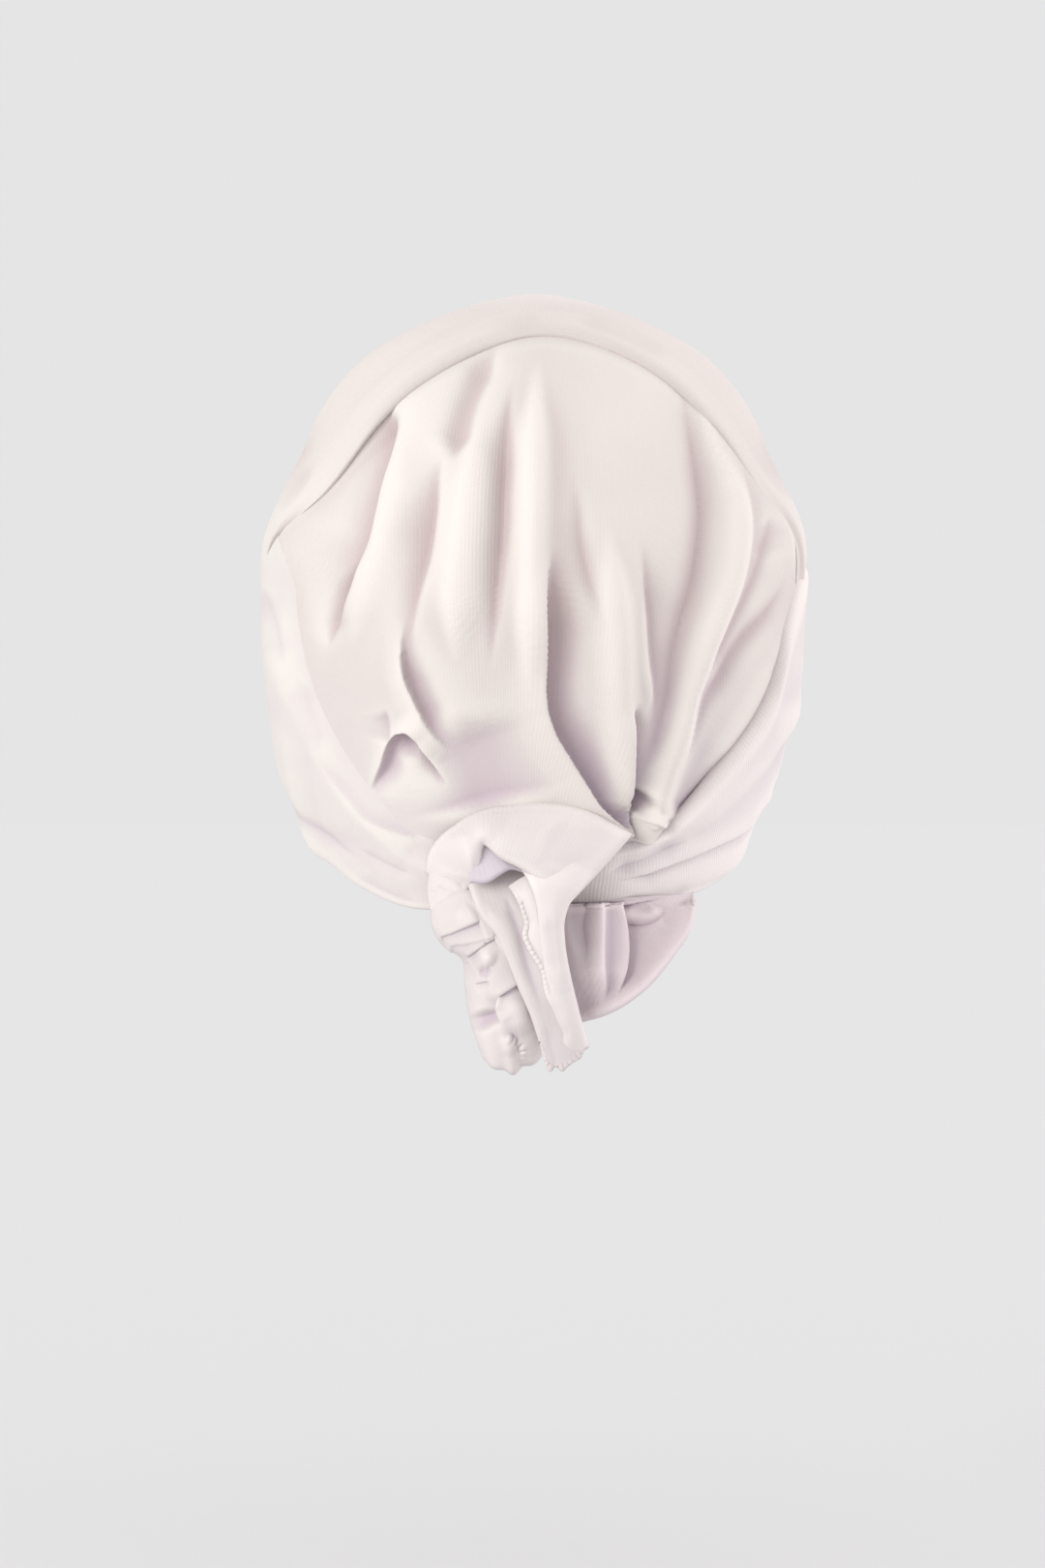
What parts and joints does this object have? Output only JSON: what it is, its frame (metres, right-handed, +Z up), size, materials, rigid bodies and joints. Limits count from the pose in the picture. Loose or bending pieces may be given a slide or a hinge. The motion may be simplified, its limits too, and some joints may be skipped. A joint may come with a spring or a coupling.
{
  "type": "hair bonnet",
  "caption": "Pre-tied hair bonnet of thin pale jersey in its worn form: a front panel, a gathered back panel, and two ties knotted at the nape with short hanging tails.",
  "frame": {"origin": "inside of the crown, on top of the wearer's head, where the head carries the bonnet", "axes": "+Z up, +Y the way the wearer faces, so the knot and tails are at -Y, and +X towards the wearer's right as seen from behind"},
  "size_m": [0.1767, 0.2102, 0.2402],
  "materials": {
    "jersey": "soft matt rib-knit jersey, pale ivory with a lilac cast in its folds"
  },
  "bodies": {
    "root": {"front_panel": "jersey", "back_panel": "jersey", "tie_left": "jersey", "tie_right": "jersey", "knot": "jersey", "knot_loop": "jersey", "tail_left": "jersey", "tail_right": "jersey", "nape_flap": "jersey"}
  },
  "joints": []
}
